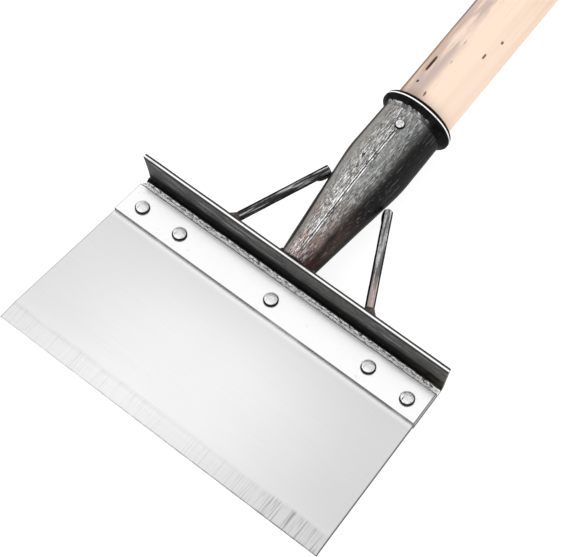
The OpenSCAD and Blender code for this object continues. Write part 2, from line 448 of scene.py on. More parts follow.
class Graph:
    """A material's nodes, with short ways to add the usual ones."""

    def __init__(self, name: str) -> None:
        """Starts a material that holds one shader.

        Args:
            name: Name of the material.
        """
        self.material = bpy.data.materials.new(name)
        self.material.use_nodes = True
        self.tree = self.material.node_tree
        self.tree.nodes.clear()
        output = self.tree.nodes.new("ShaderNodeOutputMaterial")
        self.shader = self.tree.nodes.new("ShaderNodeBsdfPrincipled")
        self.tree.links.new(self.shader.outputs["BSDF"], output.inputs["Surface"])
        self.place = self.tree.nodes.new("ShaderNodeTexCoord").outputs["Object"]

    def put(self, value: object, socket: bpy.types.NodeSocket) -> None:
        """Links an output to a socket, or sets the socket to a constant.

        Args:
            value: An output, or a constant.
            socket: The socket that takes it.
        """
        if isinstance(value, bpy.types.NodeSocket):
            self.tree.links.new(value, socket)
        else:
            socket.default_value = value

    def math(self, kind: str, a: object, b: object = 0.0) -> bpy.types.NodeSocket:
        """Result of a sum, product or other operation on two values.

        Args:
            kind: Name of Blender's operation.
            a: First value.
            b: Second value.

        Returns:
            The result.
        """
        node = self.tree.nodes.new("ShaderNodeMath")
        node.operation = kind
        self.put(a, node.inputs[0])
        self.put(b, node.inputs[1])
        return node.outputs[0]

    def axes(self) -> list[bpy.types.NodeSocket]:
        """The piece's own X, Y and Z in metres.

        Returns:
            The three values.
        """
        node = self.tree.nodes.new("ShaderNodeSeparateXYZ")
        self.put(self.place, node.inputs[0])
        return list(node.outputs)

    def stretched(self, scale: Point, turn: float = 0.0) -> bpy.types.NodeSocket:
        """Coordinates multiplied by a scale per axis, after a turn about Z in degrees.

        Args:
            scale: Scale along X, Y and Z.
            turn: Turn about Z, in degrees.

        Returns:
            The scaled coordinates.
        """
        node = self.tree.nodes.new("ShaderNodeMapping")
        node.inputs["Rotation"].default_value = (0, 0, math.radians(turn))
        node.inputs["Scale"].default_value = scale
        self.put(self.place, node.inputs["Vector"])
        return node.outputs[0]

    def noise(self, scale: Point, detail: float = 3.0, rough: float = 0.55, turn: float = 0.0,
              warp: float = 0.0) -> bpy.types.NodeSocket:
        """Noise value, with its own scale along each axis.

        Args:
            scale: Cycles per metre along X, Y and Z.
            detail: Number of finer layers.
            rough: Strength of the finer layers.
            turn: Turn of the coordinates about Z, in degrees.
            warp: Distortion of the pattern.

        Returns:
            The noise value, from 0 to 1.
        """
        node = self.tree.nodes.new("ShaderNodeTexNoise")
        self.put(self.stretched(scale, turn), node.inputs["Vector"])
        node.inputs["Scale"].default_value = 1.0
        node.inputs["Detail"].default_value = detail
        node.inputs["Roughness"].default_value = rough
        node.inputs["Distortion"].default_value = warp
        return node.outputs["Fac"]

    def ramp(self, value: bpy.types.NodeSocket, low: float, high: float, start: float = 0.0,
             end: float = 1.0) -> bpy.types.NodeSocket:
        """Value that goes smoothly from start at low to end at high.

        Args:
            value: The value to follow.
            low: Where the change starts.
            high: Where the change ends.
            start: Result up to low.
            end: Result from high on.

        Returns:
            The result.
        """
        node = self.tree.nodes.new("ShaderNodeMapRange")
        node.interpolation_type = "SMOOTHSTEP"
        self.put(value, node.inputs["Value"])
        for name, number in (("From Min", low), ("From Max", high), ("To Min", start), ("To Max", end)):
            node.inputs[name].default_value = number
        return node.outputs[0]

    def mix(self, share: object, a: object, b: object) -> bpy.types.NodeSocket:
        """Colour between a, at 0, and b, at 1.

        Args:
            share: Share of the second colour.
            a: First colour.
            b: Second colour.

        Returns:
            The mixed colour.
        """
        node = self.tree.nodes.new("ShaderNodeMix")
        node.data_type = "RGBA"
        self.put(share, node.inputs["Factor"])
        self.put(a, node.inputs[6])
        self.put(b, node.inputs[7])
        return node.outputs[2]

    def window(self, value: bpy.types.NodeSocket, centre: float, half: float,
               soft: float) -> bpy.types.NodeSocket:
        """1 within half of the centre, falling to 0 over a soft width."""
        away = self.math("ABSOLUTE", self.math("SUBTRACT", value, centre))
        return self.ramp(away, half, half + soft, 1.0, 0.0)

    def times(self, *values: object) -> bpy.types.NodeSocket:
        """Product of several values.

        Args:
            values: Outputs or constants.

        Returns:
            The product.
        """
        product = values[0]
        for value in values[1:]:
            product = self.math("MULTIPLY", product, value)
        return product

    def about(self, centre: object, value: bpy.types.NodeSocket, amount: float) -> bpy.types.NodeSocket:
        """Centre plus the value's departure from a half, times an amount."""
        return self.math("ADD", centre, self.math("MULTIPLY", self.math("SUBTRACT", value, 0.5), amount))

    def bump(self, height: bpy.types.NodeSocket, depth: float, strength: float = 1.0,
             below: bpy.types.NodeSocket | None = None) -> bpy.types.NodeSocket:
        """Surface direction with relief.

        Args:
            height: Height of the relief, from 0 to 1.
            depth: Depth of the relief in millimetres.
            strength: Share of the relief that shows.
            below: Direction from a relief under this one.

        Returns:
            The new surface direction.
        """
        node = self.tree.nodes.new("ShaderNodeBump")
        node.inputs["Strength"].default_value = strength
        node.inputs["Distance"].default_value = depth * MM
        self.put(height, node.inputs["Height"])
        if below is not None:
            self.put(below, node.inputs["Normal"])
        return node.outputs[0]

    def finish(self, colour: object, rough: object, metal: object, normal: object = None,
               **constants: float) -> bpy.types.Material:
        """Connects the shader and gives back the material.

        Args:
            colour: Base colour.
            rough: Roughness.
            metal: Metal share.
            normal: Surface direction.
            constants: Other shader inputs, with underscores for spaces.

        Returns:
            The finished material.
        """
        self.put(colour, self.shader.inputs["Base Color"])
        self.put(rough, self.shader.inputs["Roughness"])
        self.put(metal, self.shader.inputs["Metallic"])
        if normal is not None:
            self.put(normal, self.shader.inputs["Normal"])
        for name, number in constants.items():
            self.shader.inputs[name.replace("_", " ")].default_value = number
        return self.material


def grey(value: float, warmth: float = 0.0) -> tuple[float, float, float, float]:
    """Grey with a little warmth, as a colour."""
    return (value * (1 + warmth), value, value * (1 - warmth), 1.0)


def side_distance(g: Graph, x: bpy.types.NodeSocket, y: bpy.types.NodeSocket) -> bpy.types.NodeSocket:
    """Distance from the middle line, widened so that the tapered sides lie at one value."""
    taper = SIZES.blade_narrowing / 2 / SIZES.blade_rear
    return g.math("ADD", g.math("ABSOLUTE", x), g.math("MULTIPLY", y, taper))


@dataclass(frozen=True)
class BladeFinish:
    """Light brushed steel with a ground band along the cutting edge, with painted light in the middle and
    next to the strip, and a painted highlight behind the strip.
    """

    edge: float = 0.685
    middle: float = 0.165
    brush: float = 0.05
    rough: float = 0.33
    ground: float = 11.5
    ground_fade: float = 2.5

    def material(self) -> bpy.types.Material:
        """Builds the material.

        Returns:
            The material.
        """
        g = Graph("blade_steel")
        x, y, _ = g.axes()
        # brush lines across the blade, with painted light in a lighter middle patch and a duller right end
        brushed = g.noise((14, 900, 900), 3.0, 0.6)
        fine = g.noise((60, 2600, 2600), 2.0, 0.6)
        lit = g.times(g.window(x, -0.004, 0.012, 0.095), g.window(y, 0.036, 0.008, 0.06))
        shade = g.math("ADD", self.edge, g.math("MULTIPLY", lit, self.middle))
        shade = g.about(shade, g.noise((9, 12, 12), 2.0), 0.08)
        shade = g.about(g.about(shade, brushed, self.brush), fine, self.brush * 0.7)
        right = g.ramp(x, -0.02, 0.1)
        shade = g.math("SUBTRACT", shade, g.math("MULTIPLY", right, 0.03))
        # ground band with grinding marks square to the edge, most of them at the right
        uneven = g.math("MULTIPLY", g.noise((30, 0.1, 0.1), 2.0), 0.004)
        ground_end = (self.ground + self.ground_fade) * MM
        band = g.ramp(g.math("ADD", y, uneven), self.ground * MM, ground_end, 1.0, 0.0)
        marks = g.noise((1150, 34, 34), 3.0, 0.65, turn=-5.0, warp=0.15)
        patches = g.ramp(g.noise((70, 12, 12), 2.0), 0.42, 0.62)
        dense = g.math("ADD", g.ramp(x, 0.02, 0.1, 0.10, 0.75), g.math("MULTIPLY", patches, 0.18))
        scored = g.times(g.ramp(marks, 0.50, 0.66), band, dense)
        shade = g.math("SUBTRACT", shade, g.math("MULTIPLY", band, 0.075))
        shade = g.math("SUBTRACT", shade, g.math("MULTIPLY", scored, 0.42))
        # thin dark lines along the cutting edge and the sheared sides
        lip_edge = g.math("ADD", y, g.math("MULTIPLY", g.noise((160, 1, 1), 2.0), 0.0008))
        lip = g.times(g.ramp(lip_edge, 0.0007, 0.0013, 1.0, 0.0), g.ramp(x, -0.1, 0.09, 0.22, 0.75),
                      g.ramp(g.noise((110, 1, 1), 3.0), 0.3, 0.55, 0.4, 1.0))
        reach = SIZES.blade_width / 2 * MM
        sides = g.times(g.ramp(side_distance(g, x, y), reach - 0.00075, reach - 0.0004),
                        g.ramp(x, -0.05, 0.05, 0.35, 0.85))
        # painted light next to the strip, and behind it a painted highlight, near white with dark broken
        # marks
        by_strip = g.ramp(y, (SIZES.strip_front - 4.0) * MM, SIZES.strip_front * MM, 0.0, 0.22)
        shade = g.math("ADD", shade, by_strip)
        overhang = g.ramp(y, (SIZES.strip_rear + 0.2) * MM, (SIZES.strip_rear + 1.1) * MM, 0.0, 1.0)
        broken = g.ramp(g.noise((430, 1700, 60), 3.0, 0.75), 0.50, 0.60)
        colour = g.mix(shade, (0, 0, 0, 1), (1.0, 1.0, 1.005, 1))
        colour = g.mix(lip, colour, grey(0.08))
        colour = g.mix(sides, colour, grey(0.04))
        colour = g.mix(overhang, colour, g.mix(broken, grey(0.99), grey(0.10)))
        rough = g.about(self.rough, brushed, 0.12)
        relief = g.bump(brushed, 0.012, 0.35)
        relief = g.bump(g.math("MULTIPLY", marks, band), 0.05, 0.6, relief)
        metal = g.ramp(overhang, 0.0, 1.0, 0.85, 0.05)
        return g.finish(colour, rough, metal, relief)


@dataclass(frozen=True)
class BrightFinish:
    """Near-white bright rolled steel with dark sheared ends, a dark front edge that is part dirt and part
    painted contact shadow, and a painted shadow line along the rear edge.
    """

    face: float = 0.97
    rough: float = 0.24

    def material(self) -> bpy.types.Material:
        """Builds the material.

        Returns:
            The material.
        """
        g = Graph("bright_steel")
        x, y, _ = g.axes()
        fine = g.noise((40, 1800, 1800), 3.0, 0.6)
        shade = g.about(g.about(self.face, g.noise((60, 60, 60), 3.0, 0.6), 0.04), fine, 0.03)
        pits = g.ramp(g.noise((420, 420, 420), 2.0), 0.67, 0.74)
        shade = g.math("SUBTRACT", shade, g.math("MULTIPLY", pits, 0.10))
        patchy = g.ramp(g.noise((26, 1, 1), 3.0), 0.3, 0.5, 0.7, 1.0)
        # dark front edge, part dirt and part painted contact shadow; painted shadow line along the rear
        # edge; dark sheared ends
        front, rear = SIZES.strip_front * MM, SIZES.strip_rear * MM
        edges = g.math("MAXIMUM", g.ramp(y, front + 0.00012, front + 0.00034, 1.0, 0.0),
                       g.ramp(y, rear - 0.00060, rear - 0.00038))
        colour = g.mix(shade, (0, 0, 0, 1), (1, 1, 1, 1))
        reach = SIZES.blade_width / 2 * MM
        ends = g.times(g.ramp(side_distance(g, x, y), reach - 0.00070, reach - 0.00045),
                       g.ramp(x, -0.05, 0.05, 0.30, 0.95))
        edges = g.math("MAXIMUM", edges, ends)
        colour = g.mix(g.times(edges, patchy), colour, grey(0.01))
        metal = g.ramp(edges, 0.0, 1.0, 0.9, 0.1)
        return g.finish(colour, self.rough, metal, g.bump(fine, 0.008, 0.3))


@dataclass(frozen=True)
class RivetFinish:
    """Plain steel of a button head with marks from the snap, and painted shade round the rim."""

    name: str
    face: float = 0.80
    speckle: float = 0.25
    rim: float = 0.0032
    shade_side: tuple[float, float] = (0.68, -0.73)

    def material(self) -> bpy.types.Material:
        """Builds the material.

        Returns:
            The material.
        """
        g = Graph(self.name)
        x, y, _ = g.axes()
        blotch = g.noise((330, 330, 330), 3.0, 0.65)
        scratch = g.noise((1500, 160, 300), 2.0, 0.6, turn=38.0)
        shade = g.about(self.face, blotch, 0.22)
        shade = g.math("SUBTRACT", shade, g.times(g.ramp(scratch, 0.55, 0.70), self.speckle))
        pits = g.ramp(g.noise((1000, 1000, 1000), 2.0), 0.56, 0.62)
        shade = g.math("SUBTRACT", shade, g.times(pits, self.speckle, 0.8))
        # painted shade round the rim, full on one side and weaker on the side away from it
        away = g.math("SQRT", g.math("ADD", g.math("MULTIPLY", x, x), g.math("MULTIPLY", y, y)))
        toward_shade = g.math("ADD", g.math("MULTIPLY", x, self.shade_side[0]), g.math("MULTIPLY", y, self.shade_side[1]))
        rim = g.ramp(away, self.rim, self.rim * 1.07)
        shaded = g.ramp(toward_shade, -self.rim * 0.9, -self.rim * 0.1, 0.35, 1.0)
        colour = g.mix(shade, (0, 0, 0, 1), (1, 1, 1, 1))
        colour = g.mix(g.times(rim, shaded), colour, grey(0.01))
        metal = g.ramp(rim, 0.0, 1.0, 0.85, 0.0)
        return g.finish(colour, 0.42, metal, g.bump(blotch, 0.08, 0.5), Specular_IOR_Level=0.05)


@dataclass(frozen=True)
class BracketFinish:
    """Dark mill scale: painted shade black in the fold, scratched above it, worn bright along the top, and a
    painted highlight on the flat leg.
    """

    def material(self) -> bpy.types.Material:
        """Builds the material.

        Returns:
            The material.
        """
        g = Graph("bracket_steel")
        x, y, z = g.axes()
        heel, top = SIZES.heel * MM, SIZES.leg_height * MM
        blotch = g.noise((70, 120, 120), 4.0, 0.65)
        streak = g.noise((55, 600, 600), 3.0, 0.65)
        colour = g.mix(g.ramp(blotch, 0.35, 0.68), grey(0.05), (0.085, 0.085, 0.080, 1))
        fleck = g.noise((900, 900, 1300), 3.0, 0.75)
        colour = g.mix(g.times(g.ramp(fleck, 0.53, 0.62), 0.8), colour, grey(0.012))
        colour = g.mix(g.times(g.ramp(streak, 0.56, 0.68), 0.5), colour, grey(0.34))
        # painted shade, black in the fold; brown at the right end
        low = g.ramp(g.about(z, blotch, 0.002), 0.0050, 0.0085, 1.0, 0.0)
        colour = g.mix(low, colour, grey(0.003))
        brown = g.times(g.ramp(x, 0.070, 0.096), g.ramp(blotch, 0.40, 0.60), 0.6)
        colour = g.mix(brown, colour, (0.055, 0.047, 0.028, 1))
        colour = g.mix(g.window(z, top - 0.0010, 0.00045, 0.0003), colour, grey(0.012))
        # top edge with a bright worn line
        on_top = g.ramp(z, top - 0.00045, top - 0.00025)
        worn = g.times(on_top, g.window(y, heel - 0.00165, 0.00036, 0.00025),
                       g.ramp(g.noise((60, 1, 1), 3.0), 0.28, 0.45, 0.55, 1.0))
        colour = g.mix(on_top, colour, grey(0.035))
        colour = g.mix(worn, colour, grey(0.85))
        # painted highlight on the flat leg, just behind the blade, near white with dark broken marks
        flat = g.times(g.window(z, -SIZES.blade_thickness * MM, 0.0002, 0.0003),
                       g.window(y, heel - 0.0052, 0.0012, 0.0008))
        broken = g.ramp(g.noise((430, 1500, 60), 3.0, 0.75), 0.46, 0.55)
        colour = g.mix(flat, colour, g.mix(broken, grey(0.98), grey(0.10)))
        rough = g.about(0.48, blotch, 0.2)
        relief = g.bump(streak, 0.03, 0.5, g.bump(blotch, 0.08, 0.5))
        return g.finish(colour, rough, 0.2, relief, Specular_IOR_Level=0.08)


@dataclass(frozen=True)
class RingFinish:
    """Black scale with a painted highlight as a thin bright line along the rolled edge, and painted light
    over the front on its upper left.

    The stations of its lines are in millimetres along the socket's axis.
    """

    black_start: float = 97.0
    glint: float = 97.5
    line: float = 101.35

    def material(self) -> bpy.types.Material:
        """Builds the material.

        Returns:
            The material.
        """
        g = Graph("ring_steel")
        x, y, z = g.axes()
        blotch = g.noise((160, 160, 160), 4.0, 0.65)
        colour = g.mix(g.ramp(blotch, 0.4, 0.7), grey(0.003), grey(0.012))
        # painted light, grey over the front of the ring on its upper left, with a painted glint
        black = self.black_start * MM
        front = g.ramp(g.about(y, blotch, 0.001), black, black + 0.0008, 1.0, 0.0)
        upper = g.times(g.ramp(x, 0.004, 0.013, 1.0, 0.0), g.ramp(x, -0.0165, -0.0125))
        upper = g.times(upper, g.ramp(z, -0.002, 0.008))
        glint = g.times(g.window(g.about(y, blotch, 0.001), self.glint * MM, 0.0002, 0.0002), upper)
        flecks = g.ramp(g.noise((420, 160, 420), 3.0, 0.7), 0.47, 0.60)
        colour = g.mix(g.times(front, upper, g.ramp(flecks, 0.0, 1.0, 0.35, 1.0)), colour, grey(0.30))
        # painted highlight, a bright line along the rolled edge, slightly wavy and here and there weaker
        where = g.about(y, g.noise((70, 1, 70), 2.0), 0.0003)
        line = g.times(g.window(where, self.line * MM, 0.00026, 0.00016),
                       g.ramp(g.noise((130, 20, 130), 2.0), 0.30, 0.42, 0.75, 1.0))
        colour = g.mix(g.math("MAXIMUM", line, g.times(glint, flecks, 0.5)), colour, grey(0.95))
        relief = g.bump(blotch, 0.06, 0.5)
        return g.finish(colour, 0.6, 0.0, relief, Specular_IOR_Level=0.03)


@dataclass(frozen=True)
class SocketFinish:
    """Dark gunmetal scale drawn out lengthwise, with heat tints at the foot, painted light on the left, a
    painted sheen, and painted shade black on the right, low on the left flank and underneath.
    """

    def material(self) -> bpy.types.Material:
        """Builds the material.

        Returns:
            The material.
        """
        g = Graph("socket_steel")
        x, y, z = g.axes()
        # side runs from -1 on the left flank to 1 on the right one
        radius = g.ramp(y, 0.0, 0.07, 0.0095, 0.0178)
        side = g.math("DIVIDE", x, radius)
        streak = g.noise((1500, 210, 1500), 4.0, 0.75, warp=0.1)
        grit = g.noise((700, 420, 700), 3.0, 0.7)
        patch = g.noise((60, 30, 60), 4.0, 0.6)
        # warm grey with painted light on the left, a painted cool sheen right of the seam, painted shade
        # black on the right
        base = g.mix(g.ramp(patch, 0.32, 0.68), grey(0.13), (0.23, 0.22, 0.205, 1))
        left = g.ramp(side, -0.75, 0.05, 1.0, 0.0)
        base = g.mix(g.times(left, 0.6), base, (0.27, 0.255, 0.235, 1))
        sheen = g.times(g.window(side, 0.28, 0.08, 0.30), g.ramp(y, 0.03, 0.06))
        base = g.mix(g.times(sheen, 0.45), base, (0.24, 0.26, 0.255, 1))
        right = g.ramp(g.about(side, patch, 0.35), 0.22, 0.78)
        base = g.mix(g.times(right, 0.97), base, grey(0.006))
        # heat tints at the foot
        near_foot = g.ramp(y, 0.008, 0.045, 1.0, 0.0)
        warm = g.times(near_foot, g.ramp(g.noise((90, 40, 90), 3.0), 0.33, 0.55))
        base = g.mix(g.times(warm, g.ramp(side, 0.1, 0.8, 0.75, 0.25)), base, (0.26, 0.155, 0.125, 1))
        burnt = g.times(g.ramp(y, 0.004, 0.014, 1.0, 0.0), g.ramp(side, -0.1, 0.4))
        base = g.mix(g.times(burnt, 0.85), base, (0.035, 0.012, 0.012, 1))
        # scratches, mostly along the top
        top = g.math("MAXIMUM", g.times(g.window(side, -0.22, 0.14, 0.25), 0.85),
                     g.times(g.window(side, -0.05, 0.45, 0.35), 0.35))
        scored = g.times(g.ramp(streak, 0.51, 0.57), g.ramp(top, 0.0, 0.8, 0.0, 1.0))
        colour = g.mix(scored, base, grey(0.78))
        pitted = g.ramp(g.noise((1700, 240, 1700), 4.0, 0.75), 0.54, 0.60)
        colour = g.mix(g.times(pitted, g.ramp(top, 0.0, 0.5, 0.25, 0.9)), colour, grey(0.012))
        drawn = g.ramp(g.noise((1300, 60, 1300), 3.0, 0.7), 0.58, 0.66)
        colour = g.mix(g.times(drawn, g.ramp(side, -0.1, 0.6, 0.6, 0.12)), colour, grey(0.62))
        dusted = g.times(g.ramp(grit, 0.60, 0.70), g.ramp(side, 0.0, 0.6, 0.30, 0.12))
        colour = g.mix(dusted, colour, grey(0.5))
        # painted shade, black low on the left flank and underneath
        scale = g.math("MAXIMUM", g.ramp(side, -0.84, -0.75, 1.0, 0.0), g.ramp(z, 0.001, 0.005, 1.0, 0.0))
        colour = g.mix(scale, colour, grey(0.003))
        rough = g.about(0.45, patch, 0.18)
        metal = g.times(g.ramp(side, 0.1, 0.7, 0.65, 0.0), g.ramp(scale, 0.0, 1.0, 1.0, 0.0))
        relief = g.bump(patch, 0.12, 0.35, g.bump(streak, 0.05, 0.5))
        return g.finish(colour, rough, metal, relief, Specular_IOR_Level=0.04)


@dataclass(frozen=True)
class BarFinish:
    """Round bar with black scale, and a painted highlight of light streaks along a strip on its top."""

    name: str
    face: float = 0.03
    light: float = 0.55
    cover: float = 0.55
    strip_centre: float = 0.7
    strip_half: float = 1.4
    speckle: float = 0.0
    warm_foot: bool = False

    def material(self) -> bpy.types.Material:
        """Builds the material.

        Returns:
            The material.
        """
        g = Graph(self.name)
        x, y, z = g.axes()
        streak = g.noise((1100, 60, 1100), 3.0, 0.7)
        speck = g.noise((900, 700, 900), 3.0, 0.7)
        drawn = g.ramp(streak, self.cover - 0.07, self.cover + 0.10)
        colour = g.mix(drawn, grey(self.face), grey(self.light))
        if self.speckle:
            spots = g.times(g.ramp(speck, 0.52, 0.60), self.speckle)
            colour = g.mix(spots, colour, grey(0.10, 0.05))
        if self.warm_foot:
            colour = g.mix(g.ramp(y, 0.004, 0.022, 0.7, 0.0), colour, (0.50, 0.38, 0.34, 1))
        # painted highlight, light streaks along the strip on top; black scale everywhere else
        worn = g.times(g.window(x, self.strip_centre * MM, self.strip_half * MM, 0.00045),
                       g.ramp(z, 0.0, 0.0006))
        colour = g.mix(worn, grey(0.003), colour)
        metal = g.ramp(worn, 0.0, 1.0, 0.0, 0.35)
        return g.finish(colour, 0.55, metal, g.bump(speck, 0.04, 0.6), Specular_IOR_Level=0.03)


@dataclass(frozen=True)
class WeldFinish:
    """Dull bead of weld metal with brown tints."""

    def material(self) -> bpy.types.Material:
        """Builds the material.

        Returns:
            The material.
        """
        g = Graph("weld_metal")
        patch = g.noise((250, 250, 250), 3.0, 0.6)
        ripple = g.noise((900, 900, 900), 3.0, 0.65)
        colour = g.mix(g.ramp(patch, 0.35, 0.65), (0.03, 0.026, 0.025, 1), (0.12, 0.085, 0.075, 1))
        colour = g.mix(g.times(g.ramp(ripple, 0.58, 0.7), 0.4), colour, grey(0.4))
        return g.finish(colour, 0.5, 0.6, g.bump(ripple, 0.12, 0.6), Specular_IOR_Level=0.3)


@dataclass(frozen=True)
class SeamFinish:
    """Bright ground strip over the socket's seam, dark along its sides."""

    def material(self) -> bpy.types.Material:
        """Builds the material.

        Returns:
            The material.
        """
        g = Graph("seam_metal")
        x, y, _ = g.axes()
        streak = g.noise((1700, 230, 1700), 4.0, 0.75)
        middle = g.window(x, 0.0, 0.00018, 0.0003)
        colour = g.mix(g.ramp(streak, 0.42, 0.53), grey(0.06), grey(0.95))
        colour = g.mix(g.times(middle, g.ramp(streak, 0.35, 0.5, 0.5, 1.0)), colour, grey(0.03))
        half = (SIZES.seam_width / 2 - 0.20) * MM
        sides = g.ramp(g.math("ABSOLUTE", x), half - 0.0005, half - 0.0001)
        colour = g.mix(g.times(sides, 0.95), colour, grey(0.008))
        colour = g.mix(g.times(g.ramp(y, 0.003, 0.02, 1.0, 0.0), 0.6), colour, (0.16, 0.10, 0.08, 1))
        return g.finish(colour, 0.4, 0.6, g.bump(streak, 0.06, 0.6), Specular_IOR_Level=0.3)


@dataclass(frozen=True)
class Crack:
    """Slit or dent in the wood, by station, angle from the top and size in millimetres."""

    station: float
    turn: float
    length: float
    width: float
    depth: float
    slant: float = 0.0
    # how strongly the colour over the slit is darkened
    darkening: float = 0.85

    def sink(self, k: float, arc: float, radius: float) -> float:
        """How far the surface is sunk at a station and an angle in degrees.

        Args:
            k: Station in millimetres.
            arc: Angle from the top, in degrees.
            radius: Radius of the handle there.

        Returns:
            The depth in millimetres.
        """
        along = (k - self.station) / (self.length / 2)
        centre = self.turn + self.slant * along
        across = math.radians(arc - centre) * radius / (self.width / 2)
        if abs(along) > 1 or abs(across) > 1:
            return 0.0
        return self.depth * (1 - along * along) * (1 - across * across)


@dataclass(frozen=True)
class WoodFinish:
    """Sanded bare wood with pale grain, grey stains and a few dark spots."""

    pale: tuple[float, float, float] = (0.86, 0.66, 0.52)
    deep: tuple[float, float, float] = (0.80, 0.58, 0.44)
    cracks: tuple[Crack, ...] = ()

    def crack_mask(self, g: Graph, crack: Crack) -> bpy.types.NodeSocket:
        """Pointed mask over one crack.

        Args:
            g: The material's nodes.
            crack: The crack.

        Returns:
            The mask, from 0 to 1.
        """
        x, y, z = g.axes()
        angle = math.radians(crack.turn)
        length, width = crack.length * MM, crack.width * MM
        here = g.times(g.window(y, crack.station * MM, length * 0.12, length * 0.42),
                       g.window(x, SIZES.handle_radius * MM * math.sin(angle), width * 0.05, width * 0.50),
                       g.ramp(g.math("MULTIPLY", z, math.cos(angle)), 0.0, 0.002))
        return g.times(g.ramp(here, 0.25, 0.45), crack.darkening)

    def material(self) -> bpy.types.Material:
        """Builds the material.

        Returns:
            The material.
        """
        g = Graph("handle_wood")
        x, y, z = g.axes()
        # lengthwise grain, cloudy and darker on the left
        grain = g.noise((210, 3.2, 210), 4.0, 0.6, warp=0.6)
        pore = g.noise((1500, 28, 1500), 3.0, 0.6)
        cloud = g.noise((38, 9, 38), 3.0, 0.55)
        colour = g.mix(g.ramp(grain, 0.34, 0.68), (*self.pale, 1), (*self.deep, 1))
        colour = g.mix(g.times(g.ramp(cloud, 0.42, 0.62), 0.5), colour, (0.90, 0.73, 0.60, 1))
        left = g.ramp(x, -0.015, 0.001, 1.0, 0.0)
        colour = g.mix(g.times(left, 0.45), colour, (0.62, 0.44, 0.34, 1))
        # grey stains left of the middle, tan ones beside them, a brown edge at the ring
        darkening = g.times(g.window(x, -0.0075, 0.0028, 0.0065),
                        g.ramp(g.noise((80, 16, 80), 4.0, 0.6), 0.44, 0.60))
        colour = g.mix(g.times(darkening, 0.8), colour, (0.42, 0.33, 0.31, 1))
        tan = g.times(g.window(x, -0.0125, 0.0010, 0.0025), g.ramp(g.noise((60, 30, 60), 3.0), 0.40, 0.58))
        colour = g.mix(g.times(tan, 0.7), colour, (0.47, 0.32, 0.20, 1))
        by_ring = g.times(g.ramp(y, 0.104, 0.112, 1.0, 0.0), g.ramp(x, -0.006, 0.006, 1.0, 0.25))
        colour = g.mix(g.times(by_ring, 0.6), colour, (0.40, 0.27, 0.20, 1))
        colour = g.mix(g.times(g.ramp(pore, 0.60, 0.72), 0.22), colour, (0.50, 0.36, 0.28, 1))
        # small dark spots, cracks, and a dark line along the left side next to the ring, part grime and part
        # painted shade
        spots = g.ramp(g.noise((170, 60, 170), 2.0, 0.5), 0.735, 0.765)
        colour = g.mix(g.times(spots, 0.85), colour, (0.10, 0.06, 0.05, 1))
        # each crack darkens the colour over its slit
        for crack in self.cracks:
            colour = g.mix(self.crack_mask(g, crack), colour, (0.045, 0.025, 0.02, 1))
        grime_and_shade = g.times(g.ramp(g.about(x, cloud, 0.0015), -0.0142, -0.0122, 1.0, 0.0),
                        g.ramp(z, -0.004, 0.001), g.ramp(y, 0.17, 0.24, 0.9, 0.1))
        colour = g.mix(grime_and_shade, colour, (0.13, 0.07, 0.045, 1))
        rough = g.about(0.62, grain, 0.15)
        relief = g.bump(pore, 0.05, 0.5, g.bump(grain, 0.10, 0.4))
        return g.finish(colour, rough, 0.0, relief, Specular_IOR_Level=0.3)


@dataclass(frozen=True)
class FloorFinish:
    """Plain white studio floor, lit from below like a light table."""

    white: float = 0.35
    glow: float = 0.82

    def material(self) -> bpy.types.Material:
        """Builds the material.

        Returns:
            The material.
        """
        g = Graph("studio_floor")
        g.put((1, 1, 1, 1), g.shader.inputs["Emission Color"])
        return g.finish(grey(self.white), 0.9, 0.0, None, Specular_IOR_Level=0.0,
                        Emission_Strength=self.glow)


# ---------------------------------------------------------------- blade, strip and bracket


@dataclass
class Blade:
    """Wide thin blade, ground to an edge in front and slightly warped."""

    sizes: Sizes = SIZES
    columns: int = 220
    nick: float = 0.22
    warp: float = 0.06

    def section(self) -> list[tuple[float, float]]:
        """Section loop of y and z, from the edge over the top and back underneath.

        Returns:
            Pairs of y and z, in order.
        """
        s = self.sizes
        lip = s.edge_thickness - s.blade_thickness
        top = [(0.0, lip)] + [(s.bevel_length * t, lip * (1 - t)) for t in (0.25, 0.5, 0.75)]
        top += [(y, 0.0) for y in stations(s.bevel_length, s.blade_rear, 12)]
        rear = [(s.blade_rear, -s.blade_thickness)]
        low = [(y, -s.blade_thickness) for y in reversed(stations(0.0, s.blade_rear, 24)[:-1])]
        return top + rear + low

    def build(self) -> bpy.types.Object:
        """Draws the blade with small nicks along its edge.

        Returns:
            The piece.
        """
        s = self.sizes
        rows = []
        for i in range(self.columns + 1):
            across = 2 * i / self.columns - 1
            bite = max(0.0, waver(across * 36, 0.3, 0.7, 2.0) - 0.12) * self.nick
            bite += max(0.0, waver(across * 9, 1.3, 0.2, 5.0) - 0.2) * self.nick
            row = []
            for y, z in self.section():
                shift = bite * (1 - smooth(0.0, 3.0, y))
                free = smooth(0, 25, y) * (1 - smooth(60, 80, y))
                bend = self.warp * waver(across * 2.0, y / 60, 0.4, 7.0) * free
                row.append((across * s.half_width(y), y + shift, z + bend))
            rows.append(row)
        draft = Draft()
        draft.tube(rows)
        made = draft.piece("blade", HEAD, Slot.BLADE, "blade")
        soften(made, 0.22, 40)
        return made


